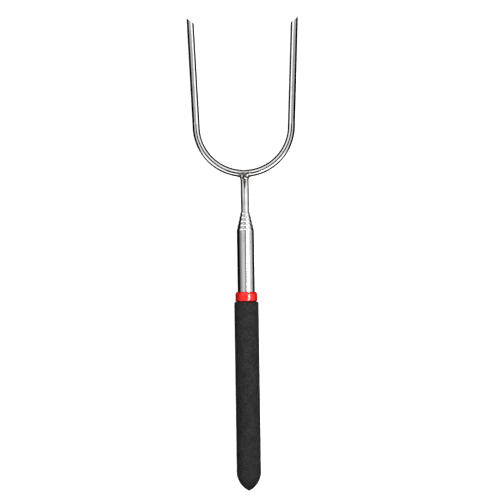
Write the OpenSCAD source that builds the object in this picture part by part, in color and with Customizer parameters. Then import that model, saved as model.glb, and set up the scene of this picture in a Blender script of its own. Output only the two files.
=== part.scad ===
// Telescopic roasting fork: a two-pronged wire fork on a rod of six tubes that
// slide and turn in each other, with a foam grip over the outermost tube.
// Each piece is drawn upright, with its distance from the butt of the grip along z,
// and lay_down() then lays it on its side: +Y runs out past the prong tips, the grip
// rests on the plane Z = 0 and the origin is under the middle of the closed fork.

/* [Fork] */
// Diameter of the wire that both prongs are bent from
wire_d = 4.7; // [3.4:0.1:5.6]
// Radius of the bend between the prongs, at the middle of the wire
bend_r = 30.2; // [20:0.2:45]
// Height of the prong tips above the middle of the wire at the foot of the bend
fork_h = 99; // [70:0.2:130]
// How far each prong leans outwards, in degrees
splay = 2.4; // [0.5:0.1:6]
// Slant of the cut across each tip, in degrees
tip_cut = 39; // [0:1:55]

/* [Rod] */
// Outer diameter of the stem, which is the thinnest tube
stem_d = 5.2; // [4.4:0.1:7]
// Wall thickness of every tube
tube_wall = 0.35; // [0.25:0.05:0.6]
// Gap all round between a tube and the wider tube that it slides in
tube_gap = 0.23; // [0.18:0.01:0.5]
// Play all round between a tube and the mouth that it slides through
mouth_play = 0.05; // [0.02:0.01:0.08]
// Length of the narrowed neck at the mouth of a tube
neck_len = 0.4; // [0.3:0.1:4]
// Length of the shoulder where a tube narrows to its neck
shoulder_len = 0.9; // [0.4:0.1:2]
// Radius on the lip of a mouth
lip_r = 0.2; // [0.1:0.05:0.25]
// How far each mouth stands out of the one around it when the rod is closed
mouth_pitch = 2.54; // [2:0.02:8]
// Bare length of the outer tube in front of the collar
front_len = 40.3; // [20:0.1:80]
// Length of stem from the last mouth to the middle of the fork wire
stem_len = 24.6; // [14:0.1:60]
// How far the end of the stem is let into the underside of the fork wire
stem_cope = 0.9; // [0.5:0.1:1.5]
// Radius of the weld bead that runs round the end of the stem
weld_r = 1.1; // [0.8:0.05:1.4]
// How far the middle of that bead is above the underside of the fork wire
weld_lift = 0.2; // [0:0.05:0.4]

/* [Bushes and friction rings] */
// Length of a tail bush's head, which stops against the shoulder of the tube around it
head_len = 4; // [3:0.1:8]
// Length of the spigot that is pressed into the tail of a tube
spigot_len = 2.5; // [1.5:0.1:6]
// Wall thickness of a spigot, and of the end plug's spigot
spigot_wall = 0.6; // [0.4:0.05:0.8]
// Play all round between a bush's head and the tube around it
head_play = 0.05; // [0.03:0.01:0.08]
// Play all round between a friction ring and the tube that it grips
ring_play = 0.02; // [0.01:0.01:0.04]
// Thickness of a friction ring
ring_t = 0.4; // [0.3:0.02:0.5]
// Width of a friction ring along the rod
ring_w = 1.6; // [1:0.1:2.2]
// Play between a friction ring and its groove, all round and at both sides
groove_play = 0.08; // [0.04:0.01:0.12]
// Width of the slit that lets a friction ring spring
slit_w = 1.2; // [0.6:0.1:2]
// Gap that is left between neighbouring bushes when the rod is closed
bush_gap = 0.2; // [0.1:0.05:2]

/* [Handle] */
// Diameter of the foam grip
grip_d = 15.6; // [14:0.1:24]
// Length of the foam grip
grip_len = 120; // [90:1:160]
// Length of the pointed end of the grip
point_len = 12.3; // [8:0.1:18]
// Chamfer round the front edge of the grip
grip_edge = 0.5; // [0.2:0.1:1]
// Depth of solid foam behind the end plug
butt_wall = 7; // [5:0.1:15]
// Thickness of the end plug's flange
flange_len = 2; // [1:0.1:4]
// Length of the end plug's spigot inside the outer tube
plug_len = 4; // [2:0.1:8]
// Diameter of the air hole through the end plug
vent_d = 2; // [1:0.1:4]
// Diameter of the collar in front of the grip
collar_d = 14; // [13:0.1:20]
// Length of the collar
collar_len = 6.4; // [4:0.1:12]
// Radius on both edges of the collar
collar_edge = 0.9; // [0.3:0.1:1.2]
// Wall of the sleeve that the collar tucks under the grip
sleeve_wall = 0.9; // [0.5:0.1:1.1]
// Length of that sleeve
sleeve_len = 6; // [3:0.1:12]

/* [Hidden] */
first = 2;
last = 6;
inner_tubes = [first : last - 1];
inner_stages = [first : last];

steel = [0.78, 0.79, 0.80];
brass = [0.80, 0.64, 0.30];
spring_steel = [0.45, 0.46, 0.50];
white_plastic = [0.90, 0.90, 0.86];
red_plastic = [0.92, 0.13, 0.10];
charcoal_foam = [0.20, 0.20, 0.20];

curve_fn = 96;
arc_step = 15;
extra = 1;

wire_r = wire_d / 2;
nose_len = neck_len + shoulder_len;
tube_start = butt_wall + flange_len;
collar_top = grip_len + collar_len;
weld_z = collar_top + front_len + (last - first) * mouth_pitch + stem_len;
total_len = weld_z + fork_h;
arc_z = weld_z + bend_r;

// Tubes are counted from 1, the outer tube, to 6, the stem.
function tube_r(k) = stem_d / 2 + (last - k) * (tube_wall + tube_gap);
function bore_r(k) = tube_r(k) - tube_wall;
function mouth_r(k) = tube_r(k + 1) + mouth_play;
function mouth_z(k) = collar_top + front_len + (k - 1) * mouth_pitch;
function tail_z(k) =
    k == 1 ? tube_start
    : k == first ? tube_start + plug_len + bush_gap + head_len
    : tail_z(k - 1) + spigot_len + bush_gap + head_len;

// The friction ring of tube k lies in a groove in the middle of its bush's head.
function head_r(k) = bore_r(k - 1) - head_play;
function ring_r(k) = bore_r(k - 1) - ring_play;
function groove_r(k) = ring_r(k) - ring_t - groove_play;
function ring_z(k) = tail_z(k) - head_len / 2 - ring_w / 2;

// Points along an arc about [x, z], from one angle to another.
function arc(x, z, r, from, to) =
    [for (a = [from : arc_step * sign(to - from) : to]) [x + r * cos(a), z + r * sin(a)]];

// Lays an upright piece down along Y, with the grip resting on Z = 0.
module lay_down() {
    translate([0, -total_len / 2, grip_d / 2])
        rotate([-90, 0, 0])
            children();
}

// A ring of material turned about the rod's axis from a closed outline.
module turned(points) {
    rotate_extrude($fn = curve_fn)
        polygon(points);
}

// Tube k, with its mouth drawn in to a neck that guides the next tube.
module tube_section(k) {
    neck_r = mouth_r(k) + tube_wall;
    top = mouth_z(k);
    color(steel)
        turned(concat(
            [[bore_r(k), tail_z(k)], [tube_r(k), tail_z(k)]],
            [[tube_r(k), top - nose_len], [neck_r, top - neck_len]],
            arc(neck_r - lip_r, top - lip_r, lip_r, 0, 90),
            [[mouth_r(k), top], [mouth_r(k), top - neck_len]],
            [[bore_r(k), top - nose_len]]
        ));
}

module outer_tube() {
    tube_section(1);
}

// The stem is cut to a saddle that fits the underside of the fork wire.
module stem_tube() {
    top = weld_z - wire_r + stem_cope;
    color(steel)
        difference() {
            turned([
                [bore_r(last), tail_z(last)], [tube_r(last), tail_z(last)],
                [tube_r(last), top], [bore_r(last), top]
            ]);
            wire_bend();
        }
}

// The curved part of the fork wire.
module wire_bend() {
    translate([0, 0, arc_z])
        rotate([90, 0, 0])
            rotate([0, 0, 180 + splay])
                rotate_extrude(angle = 180 - 2 * splay, $fn = curve_fn)
                    translate([bend_r, 0])
                        circle(d = wire_d, $fn = curve_fn);
}

// One straight prong, from the end of the bend to its slanted tip.
module prong() {
    tip_len = (fork_h - bend_r + (bend_r + wire_r) * sin(splay)) / cos(splay);
    rotate([0, splay, 0])
        translate([bend_r, 0, 0])
            difference() {
                cylinder(h = tip_len, d = wire_d, $fn = curve_fn);
                translate([wire_r, 0, tip_len])
                    rotate([0, -tip_cut, 0])
                        translate([-2 * wire_d, -wire_d, 0])
                            cube([3 * wire_d, 2 * wire_d, 2 * wire_d]);
            }
}

// One wire bent into both prongs.
module prong_wire() {
    color(steel)
        union() {
            wire_bend();
            for (side = [0, 1])
                mirror([side, 0, 0])
                    translate([0, 0, arc_z])
                        prong();
        }
}

// A bead of weld metal round the end of the stem, where it meets the fork wire.
module weld_bead() {
    underside = weld_z - wire_r;
    color(steel)
        difference() {
            translate([0, 0, underside + weld_lift])
                rotate_extrude($fn = curve_fn)
                    translate([tube_r(last), 0])
                        circle(r = weld_r, $fn = curve_fn);
            translate([0, 0, underside - 2 * weld_r])
                cylinder(h = 2 * weld_r + stem_cope, r = tube_r(last), $fn = curve_fn);
            wire_bend();
        }
}

// A bush pressed into the tail of tube k: its head stops the tube at full length.
module tail_bush(k) {
    z = tail_z(k);
    bottom = z - head_len;
    hole_r = bore_r(k) - spigot_wall;
    color(brass)
        turned([
            [hole_r, bottom], [head_r(k), bottom],
            [head_r(k), ring_z(k) - groove_play], [groove_r(k), ring_z(k) - groove_play],
            [groove_r(k), ring_z(k) + ring_w + groove_play],
            [head_r(k), ring_z(k) + ring_w + groove_play],
            [head_r(k), z], [bore_r(k), z],
            [bore_r(k), z + spigot_len], [hole_r, z + spigot_len]
        ]);
}

// A split ring that rides in the bush's groove and drags on the tube around it.
module friction_ring(k) {
    slit = 2 * asin(slit_w / 2 / ring_r(k));
    color(spring_steel)
        rotate([0, 0, slit / 2])
            rotate_extrude(angle = 360 - slit, $fn = curve_fn)
                translate([ring_r(k) - ring_t, ring_z(k)])
                    square([ring_t, ring_w]);
}

// A plug that closes the butt end of the outer tube.
module end_plug() {
    top = tube_start + plug_len;
    color(white_plastic)
        turned([
            [vent_d / 2, butt_wall], [tube_r(1), butt_wall],
            [tube_r(1), tube_start], [bore_r(1), tube_start],
            [bore_r(1), top], [vent_d / 2, top]
        ]);
}

// A cap ring that stops the grip sliding forwards, with a sleeve under the foam.
module collar() {
    edge_r = collar_d / 2 - collar_edge;
    sleeve_r = tube_r(1) + sleeve_wall;
    color(red_plastic)
        turned(concat(
            [[tube_r(1), grip_len - sleeve_len], [sleeve_r, grip_len - sleeve_len]],
            [[sleeve_r, grip_len]],
            arc(edge_r, grip_len + collar_edge, collar_edge, -90, 0),
            arc(edge_r, collar_top - collar_edge, collar_edge, 0, 90),
            [[tube_r(1), collar_top]]
        ));
}

// A foam sleeve with a pointed, closed end.
module grip() {
    r = grip_d / 2;
    point_r = (r * r + point_len * point_len) / (2 * r);
    color(charcoal_foam)
        difference() {
            rotate_extrude($fn = curve_fn)
                union() {
                    intersection() {
                        square([r, point_len]);
                        translate([r - point_r, point_len])
                            circle(r = point_r, $fn = curve_fn);
                    }
                    polygon([
                        [0, point_len], [r, point_len], [r, grip_len - grip_edge],
                        [r - grip_edge, grip_len], [0, grip_len]
                    ]);
                }
            translate([0, 0, butt_wall])
                cylinder(h = grip_len, r = tube_r(1), $fn = curve_fn);
            translate([0, 0, grip_len - sleeve_len])
                cylinder(h = sleeve_len + extra, r = tube_r(1) + sleeve_wall, $fn = curve_fn);
        }
}

lay_down() grip();
lay_down() collar();
lay_down() end_plug();
lay_down() outer_tube();
lay_down() stem_tube();
lay_down() prong_wire();
lay_down() weld_bead();
for (k = inner_tubes)
    lay_down() tube_section(k);
for (k = inner_stages)
    lay_down() tail_bush(k);
for (k = inner_stages)
    lay_down() friction_ring(k);
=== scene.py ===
# %% [markdown]
# # A telescopic roasting fork
#
# A bent wire fork sits on a rod of six steel tubes that slide into each other, and a
# foam grip covers the widest one. The moving frame comes ready made from the packed
# model: it fixes every size and every joint. This lesson builds the pieces that show
# around that frame, gives each one a procedural finish, and lights the fork as a
# studio would. Each step says what the real piece is, then how it is made here.

# %% Load the frame
from math import asin, atan2, cos, hypot, pi, radians, sin, tan

import bmesh
import bpy
from mathutils import Matrix, Vector, noise


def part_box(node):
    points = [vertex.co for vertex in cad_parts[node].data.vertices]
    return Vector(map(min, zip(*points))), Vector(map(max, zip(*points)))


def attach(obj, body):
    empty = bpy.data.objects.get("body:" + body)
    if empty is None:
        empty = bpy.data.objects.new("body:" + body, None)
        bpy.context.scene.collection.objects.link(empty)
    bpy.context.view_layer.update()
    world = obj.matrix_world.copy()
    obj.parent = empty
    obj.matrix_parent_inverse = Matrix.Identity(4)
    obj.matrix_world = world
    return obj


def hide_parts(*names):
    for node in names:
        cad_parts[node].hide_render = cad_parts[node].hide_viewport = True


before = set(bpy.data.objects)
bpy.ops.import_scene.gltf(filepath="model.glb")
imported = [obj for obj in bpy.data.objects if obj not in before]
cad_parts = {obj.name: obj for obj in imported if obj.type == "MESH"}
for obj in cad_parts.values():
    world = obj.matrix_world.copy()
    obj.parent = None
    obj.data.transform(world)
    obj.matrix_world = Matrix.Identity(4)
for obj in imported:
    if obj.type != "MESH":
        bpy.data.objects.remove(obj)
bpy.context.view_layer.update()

MM = 0.001

# %% [markdown]
# The rod lies along Y and every tube is centred on one line, so one node's box gives the
# height of that line, and each tube's box gives its radius and its two ends. Reading the
# sizes from the frame keeps the looks tied to the design.

# %% Read the rod's sizes
tube_nodes = ["outer_tube", "tube_2", "tube_3", "tube_4", "tube_5", "stem_tube"]
tube_bodies = ["handle", "section_2", "section_3", "section_4", "section_5", "fork"]


def measure(node):
    """The radius of a turned node and where it starts and ends along the rod."""
    low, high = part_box(node)
    return (high.x - low.x) / 2, low.y, high.y


rod_low, rod_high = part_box("outer_tube")
rod_z = (rod_low.z + rod_high.z) / 2
axis_point = Vector((0, 0, rod_z))
tube_size = {node: measure(node) for node in tube_nodes}
for node, (radius, start, end) in tube_size.items():
    print(f"{node}: {2000 * radius:.2f} mm across, {1000 * (end - start):.1f} mm long")

# %% [markdown]
# The camera looks straight down on the fork through a long lens, which keeps the prongs
# and the rod free of perspective. It is rolled by less than a degree, so that the fork
# leans a little, and its aim is a little to one side of the rod. A 50 mm lens close up
# would show the same framing, but it would swell the middle of the rod.

# %% Camera
aim = Vector((2.75 * MM, 2.57 * MM, rod_z))
camera_height = 1.6
view_width = 317.2 * MM
camera_roll = radians(0.85)

camera = bpy.data.objects.new("camera", bpy.data.cameras.new("camera"))
bpy.context.scene.collection.objects.link(camera)
bpy.context.scene.camera = camera
camera.data.lens = camera.data.sensor_width * camera_height / view_width
camera.location = aim + Vector((0, 0, camera_height))
camera.rotation_euler = (0, 0, -camera_roll)
print(f"camera: {camera.data.lens:.0f} mm lens at {camera_height} m")

# %% [markdown]
# Shader maths reads best as plain expressions. A small class wraps one output socket and
# overloads the signs of arithmetic, so `1 - mask * 0.5` adds the Math nodes that it needs.
# A second class owns a node tree: one method adds any node, its settings first and then
# its inputs, and a few short methods name the nodes that every finish here uses.

# %% Sockets that do arithmetic
class Value:
    """One output of a node tree, which adds Math nodes when it is used in sums."""

    def __init__(self, graph, socket):
        self.graph, self.socket = graph, socket

    def __add__(self, other):
        return self.graph.maths("ADD", self, other)

    def __sub__(self, other):
        return self.graph.maths("SUBTRACT", self, other)

    def __rsub__(self, other):
        return self.graph.maths("SUBTRACT", other, self)

    def __mul__(self, other):
        return self.graph.maths("MULTIPLY", self, other)

    def __truediv__(self, other):
        return self.graph.maths("DIVIDE", self, other)

    __radd__ = __add__
    __rmul__ = __mul__


# %% [markdown]
# The graph's methods take plain numbers or values. Map Range with a smooth step is the
# most used of them: it turns a distance or a noise into a mask with soft edges.

# %% Node trees
class Graph:
    """A node tree that is built up by calls."""

    def __init__(self, tree):
        self.tree = tree

    def add(self, kind, settings=None, inputs=None, output=0):
        """Adds a node and returns one of its outputs."""
        node = self.tree.nodes.new(kind)
        for name, setting in (settings or {}).items():
            if name == "stops":
                self.set_stops(node.color_ramp.elements, setting)
            else:
                setattr(node, name, setting)
        for name, value in (inputs or {}).items():
            self.plug(node.inputs[name], value)
        return Value(self, node.outputs[output]) if len(node.outputs) else None

    def set_stops(self, elements, stops):
        """Gives a ramp its (place, colour) stops."""
        while len(elements) < len(stops):
            elements.new(1.0)
        for element, (place, colour) in zip(elements, stops):
            element.position = place
            element.color = (*colour, 1.0)

    def plug(self, socket, value):
        """Links a value to a socket, or sets the socket to a plain number or colour."""
        if isinstance(value, Value):
            self.tree.links.new(value.socket, socket)
        else:
            socket.default_value = value

    def maths(self, operation, *values):
        """One Math node, fed with values or plain numbers."""
        return self.add("ShaderNodeMath", {"operation": operation}, dict(enumerate(values)))

    def split(self, vector):
        """The x, y and z of a vector."""
        first = self.add("ShaderNodeSeparateXYZ", inputs={0: vector})
        return [Value(self, socket) for socket in first.socket.node.outputs]

    def join(self, x, y, z):
        """A vector from its x, y and z."""
        return self.add("ShaderNodeCombineXYZ", inputs={0: x, 1: y, 2: z})

    def step(self, value, low, high, to_low=0.0, to_high=1.0):
        """A smooth rise from one level to another as the value goes from low to high."""
        settings = {"interpolation_type": "SMOOTHSTEP"}
        inputs = {0: value, 1: low, 2: high, 3: to_low, 4: to_high}
        return self.add("ShaderNodeMapRange", settings, inputs)

    def mix(self, mask, first, second):
        """A blend of two colours."""
        return self.add("ShaderNodeMix", {"data_type": "RGBA"}, {0: mask, 6: first, 7: second}, 2)

    def noise(self, vector, scale, detail=2.0, rough=0.5):
        """A soft random value about 0.5."""
        inputs = {"Vector": vector, "Scale": scale, "Detail": detail, "Roughness": rough}
        return self.add("ShaderNodeTexNoise", inputs=inputs)


# %% [markdown]
# A studio for polished metal is mostly what the metal mirrors. Here the sky is that
# studio: a dim wall on the left, a bright one on the right, an unlit gap overhead where
# the camera looks through, and a black band below the horizon. The gap draws the dark
# line along the middle of each tube, and the black band draws the black edges.
# Softboxes made of area lights could do the same, but a sky has no grain and no seams.
#
# The sky's light is listed by how far its direction leans from overhead, in degrees.
# One list runs across the rod, with the right side as plus, and the other runs along it,
# with the fork's end as plus. Each list goes black below the horizon, where the metal's
# edges look, and comes back a little straight below, where the lit table would show.

# %% Sky: how the walls are lit
side_walls = [
    (-180, 0.8), (-166, 0.7), (-156, 0.0), (-94, 0.0), (-86, 0.12), (-77, 0.3), (-66, 0.42),
    (-53, 0.66), (-39, 0.95), (-24, 1.0), (-14, 0.8), (-7, 0.4), (0, 0.2), (5, 0.28),
    (10, 1.4), (18, 1.9), (29, 1.9), (43, 1.65), (55, 1.15), (73, 0.85), (88, 0.8),
    (98, 0.3), (106, 0.0), (156, 0.0), (166, 0.7), (180, 0.8),
]
end_walls = [
    (-180, 0.8), (-166, 0.7), (-156, 0.0), (-72, 0.0), (-63, 0.4), (-56, 3.0), (-46, 3.0),
    (-38, 0.8), (-28, 0.15), (-18, 0.05), (8, 0.05), (16, 0.4), (23, 2.6), (30, 3.0),
    (38, 2.8), (46, 0.8), (54, 0.05), (62, 0.0), (156, 0.0), (166, 0.7), (180, 0.8),
]
brightest = 3.0

world = bpy.data.worlds.new("studio")
bpy.context.scene.world = world
world.use_nodes = True
world.node_tree.nodes.clear()
sky = Graph(world.node_tree)
across, along, up = sky.split(sky.add("ShaderNodeTexCoord", output=0))


def lit_wall(sideways, levels):
    """The light from a direction, by how far it leans sideways from overhead."""
    lean = sky.maths("ARCTAN2", sideways, up)
    stops = [(0.5 + angle / 360, (level / brightest,) * 3) for angle, level in levels]
    place = lean / (2 * pi) + 0.5
    return sky.add("ShaderNodeValToRGB", {"stops": stops}, {0: place}) * brightest


facing_end = sky.step(sky.maths("ABSOLUTE", along), 0.10, 0.24)
side_light = lit_wall(across, side_walls)
end_light = lit_wall(along, end_walls)
mirrored = side_light + facing_end * (end_light - side_light)
print("sky:", len(side_walls), "levels across the rod and", len(end_walls), "along it")

# %% [markdown]
# Mirrored light and fill light need different strengths, so the sky gives each kind of
# ray its own: polished metal sees the full walls, matt foam gets a weaker fill, and the
# camera sees plain white behind the floor.

# %% Sky: one strength for each kind of ray
fill_strength = 0.14
paper_white = 1.0
rays = sky.add("ShaderNodeLightPath").socket.node.outputs
is_camera, is_glossy = Value(sky, rays["Is Camera Ray"]), Value(sky, rays["Is Glossy Ray"])
seen = mirrored * (is_glossy + (1 - is_glossy) * fill_strength)
level = seen * (1 - is_camera) + is_camera * paper_white
background = sky.add("ShaderNodeBackground", inputs={"Color": sky.join(level, level, level)})
sky.add("ShaderNodeOutputWorld", inputs={"Surface": background})
bpy.context.scene.view_settings.view_transform = "Standard"

# %% [markdown]
# Two lamps add what the walls can't. The key light hangs almost overhead and shapes the
# matt grip. The other is small, hangs close to the collar on the right and only shows in
# reflections, where it draws the white stripe down the collar. A lamp's brightness is its
# power over its area, so the function takes the brightness and works the power out.

# %% Lamps
def lamp(name, target, lean, distance, width, length, brightness, diffuse):
    """A soft lamp that leans from over its target towards +X."""
    data = bpy.data.lights.new(name, "AREA")
    data.shape = "RECTANGLE"
    data.size, data.size_y = width, length
    data.energy = brightness * pi * width * length
    thing = bpy.data.objects.new(name, data)
    bpy.context.scene.collection.objects.link(thing)
    aimed = Matrix.Translation(target) @ Matrix.Rotation(lean, 4, "Y")
    thing.matrix_world = aimed @ Matrix.Translation((0, 0, distance))
    thing.visible_camera = False
    thing.visible_diffuse = diffuse
    thing.visible_glossy = not diffuse
    print(f"{name}: {data.energy:.2f} W")


collar_front = measure("collar")[2]
by_collar = Vector((0, collar_front - 3 * MM, rod_z))
lamp(
    "key_light", axis_point, lean=radians(8), distance=1.2, width=0.6, length=1.4,
    brightness=8.2, diffuse=True)
lamp(
    "stripe_light", by_collar, lean=radians(28), distance=0.15, width=0.045, length=0.05,
    brightness=30.0, diffuse=False)

# %% [markdown]
# Polished wire needs black on both its edges, or it melts into a white table. The
# classic way is a pair of black cards, called flags, that stand just outside it, with a
# white card hung over the middle so that each prong is bright on its inner side. A black
# keel under the white card gives each prong its inner edge. All of these only show in
# reflections, so the camera never sees them.

# %% Cards round the prongs
def card_paint(name, level, fade_from, fade_to):
    """A card that gives off an even light, and that fades out along the rod."""
    paint = bpy.data.materials.new(name)
    paint.use_nodes = True
    paint.node_tree.nodes.clear()
    graph = Graph(paint.node_tree)
    _, place, _ = graph.split(graph.add("ShaderNodeTexCoord", output=3))
    light = graph.add("ShaderNodeEmission", inputs={"Color": (level, level, level, 1)})
    clear = graph.add("ShaderNodeBsdfTransparent")
    solid = graph.step(place, fade_from, fade_to)
    mixed = graph.add("ShaderNodeMixShader", inputs={0: solid, 1: clear, 2: light})
    graph.add("ShaderNodeOutputMaterial", inputs={"Surface": mixed})
    return paint


def show_in_reflections(name, bm, paint):
    """Makes a stage object that nothing but a reflection can see."""
    mesh = bpy.data.meshes.new(name)
    bm.to_mesh(mesh)
    bm.free()
    mesh.materials.append(paint)
    thing = bpy.data.objects.new(name, mesh)
    bpy.context.scene.collection.objects.link(thing)
    thing.visible_camera = False
    thing.visible_diffuse = False
    thing.visible_shadow = False
    thing.visible_transmission = False


def card(name, width, place, length, lean, paint):
    """A flat card along the rod that only shows in reflections."""
    bm = bmesh.new()
    bmesh.ops.create_grid(bm, x_segments=1, y_segments=1, size=0.5)
    size = Matrix.Diagonal((width, length, 1, 1))
    bmesh.ops.transform(
        bm, matrix=Matrix.Translation(place) @ Matrix.Rotation(lean, 4, "Y") @ size,
        verts=bm.verts)
    show_in_reflections(name, bm, paint)


wire_low, wire_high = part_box("prong_wire")
card_length = 130 * MM
card_y = wire_high.y + 15 * MM - card_length / 2
fade = (wire_high.y - 108 * MM, wire_high.y - 90 * MM)
white_fade = (wire_high.y - 84 * MM, wire_high.y - 66 * MM)
no_fade = (-1.0, -0.9)
white_rise = 18 * MM
flag_x = wire_high.x + 14 * MM
black_height = 26 * MM
grey_height = 100 * MM
black_paint = card_paint("black_card", 0.0, *fade)
grey_paint = card_paint("grey_card", 0.68, *fade)
dim_paint = card_paint("dim_card", 0.46, *white_fade)
white_paint = card_paint("white_card", 1.9, *white_fade)
for side, name in ((-1, "left"), (1, "right")):
    low_place = (side * flag_x, card_y, black_height / 2)
    high_place = (side * flag_x, card_y, black_height + grey_height / 2)
    top_place = (side * 0.6 * flag_x, card_y, black_height + grey_height)
    card(f"black_flag_{name}", black_height, low_place, card_length, pi / 2, black_paint)
    card(f"grey_flag_{name}", grey_height, high_place, card_length, pi / 2, grey_paint)
    card(f"grey_top_{name}", 0.8 * flag_x, top_place, card_length, 0, dim_paint)
card("white_card", 46 * MM, (0, card_y, rod_z + white_rise), card_length, 0, white_paint)
keel_height = rod_z + white_rise - 0.5 * MM
card("black_keel", keel_height, (0, card_y, keel_height / 2), card_length, pi / 2, black_paint)

# %% [markdown]
# The stem is thin too, so it gets a pair of low black cards of its own, the left one
# a little taller than the right.

# %% Cards beside the stem
stem_card_length = 26 * MM
stem_card_y = tube_size["stem_tube"][2] - 14 * MM
stem_cards = (("left", -12 * MM, rod_z + 3.6 * MM), ("right", 12 * MM, rod_z + 1.2 * MM))
solid_black = card_paint("solid_black", 0.0, *no_fade)
for name, place_x, top in stem_cards:
    place = (place_x, stem_card_y, top / 2)
    card(f"stem_flag_{name}", top, place, stem_card_length, pi / 2, solid_black)

# %% [markdown]
# The bend is lit by curved cards that follow it. A black one over the wire draws a dark
# line along its middle, and a white one on each side of that keeps the rest of the wire
# bright. The outer white card leaves a gap over the stem, which it would wash out.
# Each card is one short edge spun round the middle of the bend, which is taken to be
# half the fork's width from its foot.

# %% Curved cards over the bend
bend_y = wire_low.y + wire_high.x


def arc_card(name, inner, outer, height, start, end, paint):
    """A flat card in an arc round the bend, between two angles from +X."""
    bm = bmesh.new()
    swing = Matrix.Rotation(start, 3, "Z")
    ends = [bm.verts.new(swing @ Vector((radius, 0, 0))) for radius in (inner, outer)]
    bmesh.ops.spin(
        bm, geom=ends + [bm.edges.new(ends)], cent=(0, 0, 0), axis=(0, 0, 1),
        angle=end - start, steps=48, use_merge=False)
    bmesh.ops.translate(bm, vec=(0, bend_y, rod_z + height), verts=bm.verts)
    show_in_reflections(name, bm, paint)


strip_width = 20 * MM
strip_radius = wire_high.x - 3 * MM
strip_edges = (strip_radius - strip_width / 2, strip_radius + strip_width / 2)
strip_rise = 30 * MM
inner_edges = (8 * MM, 24 * MM)
outer_edges = (38 * MM, 56 * MM)
gap_left, gap_right = -0.62 * pi, -0.38 * pi
bend_white = card_paint("bend_white", 1.3, *no_fade)
arc_card("black_strip", *strip_edges, strip_rise, -pi, 0, solid_black)
arc_card("inner_white", *inner_edges, white_rise, -pi, 0, bend_white)
arc_card("outer_white_left", *outer_edges, white_rise, -pi, gap_left, bend_white)
arc_card("outer_white_right", *outer_edges, white_rise, gap_right, 0, bend_white)

# %% [markdown]
# The floor is a light table: a white sheet that glows a little, so that the fork's
# shadows stay faint. Metal doesn't mirror it, or the black edges would turn white.

# %% Light table
table_bm = bmesh.new()
bmesh.ops.create_circle(table_bm, cap_ends=True, segments=64, radius=6.0)
table_mesh = bpy.data.meshes.new("light_table")
table_bm.to_mesh(table_mesh)
table_bm.free()
light_table = bpy.data.objects.new("light_table", table_mesh)
bpy.context.scene.collection.objects.link(light_table)
light_table.visible_glossy = False
light_table.visible_diffuse = False

paper = bpy.data.materials.new("white_sheet")
paper.use_nodes = True
sheet = paper.node_tree.nodes["Principled BSDF"].inputs
sheet["Base Color"].default_value = (0.85, 0.85, 0.85, 1)
sheet["Roughness"].default_value = 0.9
sheet["Emission Color"].default_value = (1, 1, 1, 1)
sheet["Emission Strength"].default_value = 0.8
table_mesh.materials.append(paper)

# %% [markdown]
# Every finish starts the same way: a material with a shader whose fixed numbers are set
# on its own sockets, and a graph to build the numbers that vary. Patterns are placed by
# object coordinates, measured from the rod's line, so they stay put when a piece moves
# with its body. A bump takes a height from 0 to 1 and its depth in millimetres.

# %% Finishes
class Finish(Graph):
    """A material built from its shader's fixed values and from varying ones."""

    def __init__(self, name, **fixed):
        self.material = bpy.data.materials.new(name)
        self.material.use_nodes = True
        super().__init__(self.material.node_tree)
        self.shader = self.tree.nodes["Principled BSDF"]
        for socket, value in fixed.items():
            self.shader.inputs[socket.replace("_", " ")].default_value = value

    def feed(self, socket, value):
        """Links a varying value to one of the shader's sockets."""
        self.plug(self.shader.inputs[socket], value)

    def bump(self, height, depth_mm):
        """Raises the surface by a height between 0 and 1, times a depth."""
        inputs = {"Height": height, "Distance": depth_mm * MM}
        self.feed("Normal", self.add("ShaderNodeBump", inputs=inputs))

    def stretch(self, point, scale, centre=(0, 0, 0)):
        """A point measured from a centre and scaled along each axis."""
        shift = [-place * size for place, size in zip(centre, scale)]
        inputs = {"Vector": point, "Location": shift, "Scale": scale}
        return self.add("ShaderNodeMapping", {"vector_type": "POINT"}, inputs)

    def on_rod(self, across=1.0, along=1.0):
        """Object coordinates from the rod's line, scaled across and along the rod."""
        point = self.add("ShaderNodeTexCoord", output=3)
        return self.stretch(point, (across, along, across), axis_point)

    def distance(self, point, place):
        """How far a point is from a place."""
        settings = {"operation": "DISTANCE"}
        return self.add("ShaderNodeVectorMath", settings, {0: point, 1: place}, 1)


# %% [markdown]
# Drawn steel is pulled through a die and then buffed, which leaves faint lines along its
# length, a slight ripple, and smears from handling. Noise that is stretched along the
# steel makes the lines: it is sampled in space and not on a UV map, so it has no seam.
# Streaks vary the roughness, the colour and a very shallow bump. The heat of welding
# leaves the steel near the joint a little duller, with a trace of straw colour.

# %% Drawn steel
weld_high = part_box("weld_bead")[1]
weld_point = Vector((0, weld_high.y - 0.8 * MM, rod_z))


def drawn_steel(name, lines):
    """Buffed steel. `lines` gives coordinates whose third scale runs along the steel."""
    steel = Finish(name, Metallic=1.0)
    even = steel.on_rod()
    hair = steel.noise(lines(steel, 7000.0, 22.0), 1.0, 3.0, 0.6)
    streak = steel.noise(lines(steel, 1500.0, 9.0), 1.0, 2.0)
    smear = steel.step(steel.noise(even, 150.0, 4.0, 0.6), 0.48, 0.72)
    heat = steel.step(steel.distance(even, weld_point - axis_point), 3.0 * MM, 8.0 * MM, 1.0, 0.0)
    steel.feed("Roughness", hair * 0.10 + streak * 0.08 + smear * 0.06 + heat * 0.10 + 0.04)
    dull = steel.step(streak * 0.55 + hair * 0.25 + smear * 0.3, 0.25, 0.85)
    bright, worn = (0.655, 0.655, 0.66, 1), (0.545, 0.545, 0.55, 1)
    tone = steel.mix(dull, bright, worn)
    steel.feed("Base Color", steel.mix(heat * 0.7, tone, (0.50, 0.475, 0.43, 1)))
    steel.bump(hair * 0.6 + streak, 0.0045)
    return steel.material


tube_steel = drawn_steel(
    "drawn_tube_steel", lambda steel, across, along: steel.on_rod(across, along))
print("finish:", tube_steel.name, len(tube_steel.node_tree.nodes), "nodes")

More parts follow.
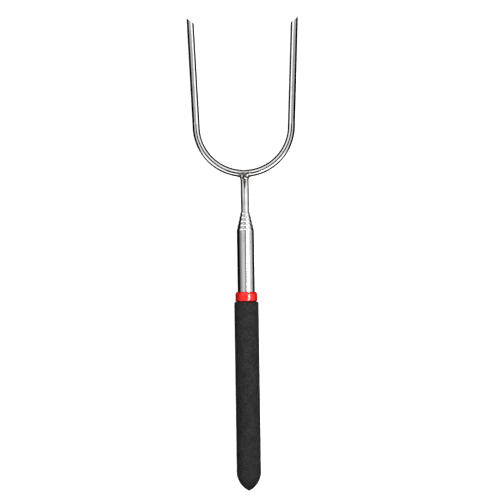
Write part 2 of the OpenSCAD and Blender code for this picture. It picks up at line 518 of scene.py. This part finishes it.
# %% [markdown]
# Most pieces of the rod are turned: they have one outline all the way round. `turn` spins
# an outline of (radius, distance along the rod) about the rod's line. The corners come
# out sharp, so `round_ring` bevels the ring of edges at a given corner afterwards, which
# keeps the outline short and lets each corner have its own radius.

# %% Turning
ROUND_STEPS = 128


def turn(outline, steps=ROUND_STEPS):
    """Spins a closed outline about the rod's line and returns the solid."""
    bm = bmesh.new()
    corners = [bm.verts.new((radius, along, rod_z)) for radius, along in outline]
    sides = [bm.edges.new(pair) for pair in zip(corners, corners[1:] + corners[:1])]
    bmesh.ops.spin(
        bm, geom=corners + sides, cent=axis_point, axis=(0, 1, 0), angle=2 * pi,
        steps=steps, use_merge=True)
    bmesh.ops.remove_doubles(bm, verts=bm.verts, dist=1e-7)
    bmesh.ops.recalc_face_normals(bm, faces=bm.faces)
    return bm


def from_axis(point):
    """How far a point is from the rod's line."""
    return hypot(point.x, point.z - rod_z)


def round_ring(bm, radius, along, width, segments=4):
    """Bevels the ring of edges at one corner of a turned outline."""
    def on_corner(vert):
        return abs(vert.co.y - along) < 1e-6 and abs(from_axis(vert.co) - radius) < 1e-6

    edges = [e for e in bm.edges if all(on_corner(v) for v in e.verts)]
    bmesh.ops.bevel(
        bm, geom=edges, offset=width, offset_type="OFFSET", affect="EDGES",
        segments=segments, profile=0.5, material=-1)


# %% [markdown]
# A long smooth face next to a small bevel picks up the bevel's tilted normals, and then
# a streak of wrong shading runs down the whole tube. Cutting a ring close to each end
# keeps the tilt inside a short band. `cut_rings` slices the mesh with planes across the
# rod. `finish_piece` turns a bmesh into an object that rides on its body, and keeps any
# edge sharper than thirty degrees crisp.

# %% Cutting rings and finishing a piece
def cut_rings(bm, places):
    """Slices the mesh across the rod at each place along it."""
    for along in places:
        everything = bm.verts[:] + bm.edges[:] + bm.faces[:]
        bmesh.ops.bisect_plane(bm, geom=everything, plane_co=(0, along, 0), plane_no=(0, 1, 0))


def finish_piece(name, bm, material, body, slot, *nodes):
    """Makes the object, rides it on its body and hides the nodes it stands for."""
    for face in bm.faces:
        face.smooth = True
    for edge in bm.edges:
        edge.smooth = edge.calc_face_angle(0) < radians(30)
    mesh = bpy.data.meshes.new(name)
    bm.to_mesh(mesh)
    bm.free()
    piece = bpy.data.objects.new(name, mesh)
    bpy.context.scene.collection.objects.link(piece)
    mesh.materials.append(material)
    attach(piece, body)
    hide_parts(*nodes)
    triangles = sum(len(face.vertices) - 2 for face in mesh.polygons)
    print(f"{name}: {triangles} triangles on {body}")
    return piece


# %% [markdown]
# Each tube's mouth is drawn in to a short neck, so that the next tube can't rattle or
# pull out. On the real tube a die presses the neck, which leaves a soft shoulder and a
# rolled lip. The outline here has the neck's corners, and bevels of different sizes turn
# them into that shoulder and lip. The neck's bore clears the next tube by a hair.

# %% Tubes with necked mouths
wall = 0.35 * MM
neck_length = 0.4 * MM
shoulder_length = 0.9 * MM
mouth_play = 0.05 * MM


def necked_tube(node, next_node):
    """An open tube whose mouth is drawn in around the next one."""
    radius, tail, mouth = tube_size[node]
    bore = radius - wall
    neck_bore = tube_size[next_node][0] + mouth_play
    neck = neck_bore + wall
    neck_at = mouth - neck_length
    shoulder_at = neck_at - shoulder_length
    bm = turn([
        (radius, tail), (radius, shoulder_at), (neck, neck_at), (neck, mouth),
        (neck_bore, mouth), (neck_bore, neck_at), (bore, shoulder_at), (bore, tail),
    ])
    round_ring(bm, neck, mouth, 0.27 * MM, 6)
    round_ring(bm, neck_bore, mouth, 0.06 * MM, 3)
    round_ring(bm, radius, shoulder_at, 0.3 * MM)
    round_ring(bm, neck, neck_at, 0.12 * MM)
    round_ring(bm, radius, tail, 0.1 * MM, 3)
    round_ring(bm, bore, tail, 0.1 * MM, 3)
    cut_rings(bm, [tail + 0.3 * MM, shoulder_at - 0.5 * MM])
    return bm


for node, next_node, body in zip(tube_nodes, tube_nodes[1:], tube_bodies):
    bm = necked_tube(node, next_node)
    finish_piece(f"{node}_drawn", bm, tube_steel, body, "tube_steel", node)

# %% [markdown]
# The stem is the last tube. Its tail is open, and its top runs into the weld under the
# fork wire, where it can't be seen, so it needs no shaped end.

# %% Stem
stem_radius, stem_tail, stem_top = tube_size["stem_tube"]
stem_bore = stem_radius - wall
stem_bm = turn([
    (stem_radius, stem_tail), (stem_radius, stem_top),
    (stem_bore, stem_top), (stem_bore, stem_tail),
])
round_ring(stem_bm, stem_radius, stem_tail, 0.1 * MM, 3)
round_ring(stem_bm, stem_bore, stem_tail, 0.1 * MM, 3)
cut_rings(stem_bm, [stem_tail + 0.3 * MM])
finish_piece("stem_drawn", stem_bm, tube_steel, "fork", "tube_steel", "stem_tube")

# %% [markdown]
# The fork is one wire, bent round a former. Its box, read for the cards above, gives the
# wire's thickness, the foot of the bend and the tips. Together with the prongs' outward
# lean, that fixes the bend radius.

# %% Measure the fork wire
splay = radians(2.4)
tip_slant = radians(39)
wire_radius = (wire_high.z - wire_low.z) / 2
foot_y = wire_low.y + wire_radius
fork_height = wire_high.y - foot_y
bend_radius = (wire_high.x - wire_radius / cos(splay) - fork_height * tan(splay)) / (
    1 / cos(splay) - tan(splay))
bend_centre = Vector((0, foot_y + bend_radius, rod_z))
prong_way = Vector((sin(splay), cos(splay), 0))
outer_way = Vector((cos(splay), -sin(splay), 0))
print(f"fork wire: {2000 * wire_radius:.2f} mm thick, bend radius {1000 * bend_radius:.2f} mm")

# %% [markdown]
# A wire could be a curve with a bevel, but its slanted tips need real cut faces. So half
# of it is swept as a mesh: a circle at the foot of the bend is spun round the bend, its
# last ring is pushed out along the prong, and a slanted plane cuts the tip and caps it.
# A small bevel breaks the cut's sharp rim, and a mirror makes the other half.

# %% Sweep and cut one half
def half_wire():
    """The right half of the fork wire, from the foot of the bend to its tip."""
    bm = bmesh.new()
    upright = Matrix.Translation((0, foot_y, rod_z)) @ Matrix.Rotation(pi / 2, 4, "Y")
    bmesh.ops.create_circle(bm, segments=64, radius=wire_radius, matrix=upright)
    bmesh.ops.spin(
        bm, geom=bm.verts[:] + bm.edges[:], cent=bend_centre, axis=(0, 0, 1),
        angle=pi / 2 - splay, steps=72, use_merge=False)
    end_of_bend = bend_centre + bend_radius * outer_way
    end_ring = [
        e for e in bm.edges
        if all(abs((v.co - end_of_bend).dot(prong_way)) < 1e-6 and v.co.x > 0 for v in e.verts)]
    pushed = bmesh.ops.extrude_edge_only(bm, edges=end_ring)["geom"]
    tip_verts = [item for item in pushed if isinstance(item, bmesh.types.BMVert)]
    bmesh.ops.translate(bm, verts=tip_verts, vec=prong_way * fork_height)
    return bm


def cut_tip(bm):
    """Cuts the prong at a slant from its outer side, caps it and breaks the rim."""
    slant = Matrix.Rotation(tip_slant, 3, "Z") @ prong_way
    cut = bmesh.ops.bisect_plane(
        bm, geom=bm.verts[:] + bm.edges[:] + bm.faces[:],
        plane_co=(wire_high.x, wire_high.y, rod_z), plane_no=slant, clear_outer=True)
    rim = [item for item in cut["geom_cut"] if isinstance(item, bmesh.types.BMEdge)]
    bmesh.ops.contextual_create(bm, geom=rim)
    bmesh.ops.bevel(
        bm, geom=rim, offset=0.07 * MM, offset_type="OFFSET", affect="EDGES",
        segments=3, profile=0.5, material=-1)


wire_bm = half_wire()
cut_tip(wire_bm)
bmesh.ops.mirror(
    wire_bm, geom=wire_bm.verts[:] + wire_bm.edges[:] + wire_bm.faces[:],
    matrix=Matrix.Identity(4), merge_dist=1e-6, axis="X")
bmesh.ops.remove_doubles(wire_bm, verts=wire_bm.verts, dist=1e-6)
bmesh.ops.recalc_face_normals(wire_bm, faces=wire_bm.faces)

# %% [markdown]
# The draw lines of the wire follow its bend, so plain object coordinates would cut across
# them. Each vertex gets a place measured from the wire instead: how far it is out from
# the wire's centre, how high it is, and how far along the wire it lies.

# %% Places along the wire
def place_on_wire(point):
    """(out, up, along) of a point, measured from the centre line of the wire."""
    side = -1 if point.x < 0 else 1
    from_centre = Vector((abs(point.x), point.y, rod_z)) - bend_centre
    past_bend = from_centre.dot(prong_way)
    if past_bend > 0:
        out = from_centre.dot(outer_way) - bend_radius
        length = bend_radius * (pi / 2 - splay) + past_bend
    else:
        out = from_centre.length - bend_radius
        length = bend_radius * atan2(from_centre.x, -from_centre.y)
    return out, point.z - rod_z, side * length


wire_place = wire_bm.verts.layers.float_vector.new("wire_place")
for vert in wire_bm.verts:
    vert[wire_place] = place_on_wire(vert.co)


def lines_on_wire(steel, across, along):
    """Places along the wire, scaled across and along it."""
    place = steel.add("ShaderNodeAttribute", {"attribute_name": "wire_place"}, output=1)
    return steel.stretch(place, (across, across, along))


wire_steel = drawn_steel("drawn_wire_steel", lines_on_wire)
finish_piece("fork_wire", wire_bm, wire_steel, "fork", "wire_steel", "prong_wire")

# %% [markdown]
# A weld flows into both pieces that it joins. A ball stuck on the joint would show a hard
# line all round, so the bead is shaped by distance: `weld_depth` says how far a point is
# from the blended skin of the stem and the wire, which is full where the two meet and
# sinks below them further out. Each point of a fine ball is then pulled in along its own
# line from the middle until it lies on that skin. Noise adds the lumps, and a wave round
# the stem adds the ripples that each puddle of metal leaves.

# %% Weld bead
weld_reach = 4.6 * MM
weld_blend = 0.9 * MM
weld_cover = 0.15
lump_height = 0.12
ripple_height = 0.025
ripples_round = 16
halvings = 24
ball_centre = Vector((0, weld_high.y - 1.0 * MM, rod_z))


def weld_depth(point):
    """How far a point is outside the blended skin of the stem and the wire."""
    stem_gap = max(from_axis(point) - stem_radius, point.y - stem_top)
    ring_gap = hypot(point.x, point.y - bend_centre.y) - bend_radius
    wire_gap = hypot(ring_gap, point.z - rod_z) - wire_radius
    near = max(weld_blend - abs(stem_gap - wire_gap), 0) / weld_blend
    skin = min(stem_gap, wire_gap) - near * near * weld_blend / 4
    from_seam = hypot(stem_gap, wire_gap) / MM
    round_stem = atan2(point.z - rod_z, point.x)
    lumps = noise.noise(point * 900) * lump_height
    ripple = cos(ripples_round * round_stem) * ripple_height
    sink = 0.32 * min(max(from_seam - 1.3, 0) / 1.6, 1)
    cover = weld_cover + lumps + ripple - sink
    return skin - cover * MM


def pull_to_weld(vert):
    """Moves a vertex along its line from the middle until it lies on the weld's skin."""
    way = (vert.co - ball_centre).normalized()
    inside, outside = 0.0, weld_reach
    if weld_depth(ball_centre + way * outside) > 0:
        for _ in range(halvings):
            middle = (inside + outside) / 2
            if weld_depth(ball_centre + way * middle) > 0:
                outside = middle
            else:
                inside = middle
    vert.co = ball_centre + way * outside


weld_bm = bmesh.new()
bmesh.ops.create_icosphere(
    weld_bm, subdivisions=6, radius=weld_reach, matrix=Matrix.Translation(ball_centre))
for vert in weld_bm.verts:
    pull_to_weld(vert)
bmesh.ops.smooth_vert(
    weld_bm, verts=weld_bm.verts, factor=0.4, use_axis_x=True, use_axis_y=True, use_axis_z=True)
bmesh.ops.recalc_face_normals(weld_bm, faces=weld_bm.faces)

# %% [markdown]
# Weld metal cools from a bright puddle to a grainy skin, and flux leaves dark scale on
# it in patches. The patches are rougher and almost black, and the grain dents the
# surface, so the bead breaks up the clean stripes of the steel around it.

# %% Weld metal
weld = Finish("weld_metal", Metallic=1.0)
weld_place = weld.on_rod()
grains = weld.noise(weld_place, 2600.0, 3.0, 0.6)
scale_spots = weld.step(weld.noise(weld_place, 750.0, 2.0), 0.42, 0.6)
weld.feed("Base Color", weld.mix(scale_spots, (0.46, 0.45, 0.44, 1), (0.07, 0.065, 0.06, 1)))
weld.feed("Roughness", grains * 0.12 + scale_spots * 0.22 + 0.18)
weld.bump(grains, 0.012)
finish_piece("weld_flow", weld_bm, weld.material, "fork", "weld_metal", "weld_bead")

# %% [markdown]
# The collar is a moulded cap ring that stops the grip from sliding forwards. A thin
# sleeve tucks under the foam and holds it open while it is glued. Its front is a cone
# that runs into a rounded rim, so the gloss makes a pale ring there, and its back edge
# rolls down into a groove against the foam, which stays dark.

# %% Collar
collar_radius, collar_start, collar_end = measure("collar")
grip_radius, grip_start, grip_end = measure("grip")
bare = tube_size["outer_tube"][0]
sleeve = bare + 0.9 * MM
collar_edge = 1.1 * MM
cone_drop = 0.55 * MM
cone_length = 1.5 * MM
collar_bm = turn([
    (bare, collar_start), (sleeve, collar_start), (sleeve, grip_end),
    (collar_radius, grip_end), (collar_radius, collar_end - cone_length),
    (collar_radius - cone_drop, collar_end), (bare, collar_end),
])
round_ring(collar_bm, collar_radius, grip_end, collar_edge, 8)
round_ring(collar_bm, collar_radius, collar_end - cone_length, 0.3 * MM)
round_ring(collar_bm, collar_radius - cone_drop, collar_end, 0.5 * MM, 6)
round_ring(collar_bm, bare, collar_end, 0.15 * MM, 3)
cut_rings(collar_bm, [grip_end + 1.3 * MM, collar_end - 2.0 * MM])

# %% [markdown]
# Glossy moulded plastic is never quite flat: it sinks a little as it cools, so its
# highlights wobble. A soft, shallow bump gives that wobble, and a finer one the faint
# grain of the mould. The colour drifts slightly with the flow of the plastic, and rubbed
# patches are a little less glossy. The groove against the foam gets painted shade: the
# colour turns nearly black at that edge of the collar, where shade falls.

# %% Red plastic
red = Finish("red_plastic", IOR=1.5, Specular_IOR_Level=0.4)
red_place = red.on_rod()
flow = red.noise(red.on_rod(260.0, 90.0), 1.0, 2.0)
sink = red.noise(red_place, 420.0, 1.0)
rubbed = red.step(red.noise(red_place, 700.0, 4.0, 0.65), 0.52, 0.72)
mould_grain = red.noise(red_place, 5200.0, 2.0)
clean = red.mix(flow, (0.72, 0.006, 0.004, 1), (0.90, 0.018, 0.012, 1))
_, along_collar, _ = red.split(red_place)
groove = grip_end - axis_point.y
# Painted shade: the colour goes nearly black in the groove against the foam, where shade falls.
painted_groove_shade = red.step(along_collar, groove + 0.5 * MM, groove + 1.2 * MM, 1.0, 0.0)
red.feed("Base Color", red.mix(painted_groove_shade * 0.85, clean, (0.05, 0.004, 0.003, 1)))
red.feed("Roughness", rubbed * 0.10 + mould_grain * 0.04 + 0.06)
red.bump(sink + mould_grain * 0.06, 0.02)
finish_piece("collar_moulded", collar_bm, red.material, "handle", "red_plastic", "collar")

# %% [markdown]
# The grip is a moulded foam sleeve with a pointed, closed end. Its outline has the point
# as an arc, the bore for the outer tube and the recess for the collar's sleeve.

# %% Grip outline
point_length = 12.3 * MM
butt_wall = 7.0 * MM
arc_radius = (grip_radius ** 2 + point_length ** 2) / (2 * grip_radius)
arc_steps = 24
arc_angles = [asin(point_length / arc_radius) * n / arc_steps for n in range(arc_steps, 0, -1)]
pointed_end = [
    (grip_radius - arc_radius + arc_radius * cos(angle),
     grip_start + point_length - arc_radius * sin(angle)) for angle in arc_angles]
grip_bm = turn([
    *pointed_end, (grip_radius, grip_start + point_length), (grip_radius, grip_end),
    (sleeve, grip_end), (sleeve, collar_start), (bare, collar_start),
    (bare, grip_start + butt_wall), (0, grip_start + butt_wall),
])
round_ring(grip_bm, grip_radius, grip_end, 0.8 * MM, 5)
round_ring(grip_bm, sleeve, grip_end, 0.25 * MM, 3)

# %% [markdown]
# Foam swells unevenly in its mould, so its skin is never a true cylinder. The skin is cut
# into fine rings, and noise of two sizes moves each point in or out by up to about a
# tenth of a millimetre. That is small, but it breaks up the outline and the shading in a
# way that a bump can't. The whole skin is set in a little, so that the swellings keep to
# the grip's real thickness.

# %% Uneven skin
ring_spacing = 1.0 * MM
set_in = 0.03
skin_start = grip_start + point_length
ring_count = round((grip_end - skin_start) / ring_spacing)
cut_rings(grip_bm, [skin_start + ring_spacing * n for n in range(1, ring_count)])
for vert in grip_bm.verts:
    out = Vector((vert.co.x, 0, vert.co.z - rod_z))
    if out.length > sleeve + 0.4 * MM:
        swell = noise.noise(vert.co * 110) * 0.05 + noise.noise(vert.co * 420) * 0.045
        vert.co += out.normalized() * (swell - set_in) * MM

# %% [markdown]
# Close up, the skin is matt charcoal and covered in burst bubbles. Voronoi cells make the
# bubbles: the distance from each cell's middle gives a small round pit, and a random
# value for each cell leaves most of them shallow and a few of them deep. Some pits have
# run together across the rod where the mould dragged them, which gives short dashes, and
# the skin between them is rubbed lighter in patches. Pits and dashes dent the surface,
# and the colour inside them is darkened to near black as painted shade.

# %% Foam
foam = Finish("charcoal_foam", Specular_IOR_Level=0.15)


def pits(per_metre, radius, fewest):
    """Round pits on a share of the cells, from 0 between them to 1 in a deep one."""
    where = {"Vector": foam.on_rod(), "Scale": per_metre}
    gap = foam.add("ShaderNodeTexVoronoi", {"feature": "F1"}, where)
    cell = foam.add("ShaderNodeTexVoronoi", {"feature": "F1"}, where, 1)
    chance, _, _ = foam.split(cell)
    return foam.step(gap, radius, radius * 0.35) * foam.step(chance, fewest, 1.0)


fine_pits = pits(2600.0, 0.55, 0.1)
deep_pits = pits(1100.0, 0.42, 0.6)
dashes = foam.step(foam.noise(foam.on_rod(560.0, 1500.0), 1.0, 2.0, 0.5), 0.52, 0.68)
patches = foam.noise(foam.on_rod(), 230.0, 3.0, 0.6)
flecks = foam.noise(foam.on_rod(1300.0, 1800.0), 1.0, 2.0, 0.7)
skin = foam.mix(
    foam.step(patches * 0.35 + flecks * 0.65, 0.38, 0.62),
    (0.0125, 0.0125, 0.0127, 1), (0.0320, 0.0320, 0.0324, 1))
pits_and_painted_shade = fine_pits * 0.35 + deep_pits * 0.7 + dashes * 0.55
# Painted shade: the colour in the pits and dashes goes to near black, where shade falls in a
# recess.
foam.feed("Base Color", foam.mix(pits_and_painted_shade, skin, (0.002, 0.002, 0.002, 1)))
foam.feed("Roughness", fine_pits * 0.1 + patches * 0.15 + 0.78)
foam.bump(1 - pits_and_painted_shade * 0.6, 0.12)
foam_grip = finish_piece("foam_grip", grip_bm, foam.material, "handle", "foam", "grip")

# %% [markdown]
# The pieces inside the rod keep the shapes that the frame gives them, because those are
# already right. They only need finishes: cut brass for the tail bushes, dark spring steel
# for the friction rings and natural white plastic for the end plug.

# %% Finishes for the pieces inside
def turned_metal(name, light, dark, line_scale):
    """Metal with the fine rings that a lathe tool leaves round a turned piece."""
    metal = Finish(name, Metallic=1.0)
    rings = metal.noise(metal.on_rod(40.0, line_scale), 1.0, 3.0, 0.7)
    stain = metal.step(metal.noise(metal.on_rod(), 500.0, 3.0), 0.45, 0.7)
    metal.feed("Base Color", metal.mix(rings * 0.5 + stain * 0.4, light, dark))
    metal.feed("Roughness", rings * 0.15 + stain * 0.12 + 0.14)
    metal.bump(rings, 0.006)
    return metal.material


brass = turned_metal("turned_brass", (0.80, 0.60, 0.26, 1), (0.55, 0.38, 0.15, 1), 9000.0)
spring = turned_metal("spring_steel", (0.36, 0.36, 0.39, 1), (0.20, 0.20, 0.23, 1), 4000.0)

white = Finish("white_plastic", IOR=1.46)
cloud = white.noise(white.on_rod(), 300.0, 3.0)
grain = white.noise(white.on_rod(), 3500.0, 2.0)
white.feed("Base Color", white.mix(cloud, (0.80, 0.80, 0.76, 1), (0.70, 0.70, 0.65, 1)))
white.feed("Roughness", grain * 0.15 + 0.35)
white.bump(grain, 0.01)


def finish_node(node, material):
    """Gives a piece of the frame its finish."""
    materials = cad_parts[node].data.materials
    materials.clear()
    materials.append(material)


for section in range(2, 7):
    finish_node(f"tail_bush_{section}", brass)
    finish_node(f"friction_ring_{section}", spring)
finish_node("end_plug", white.material)
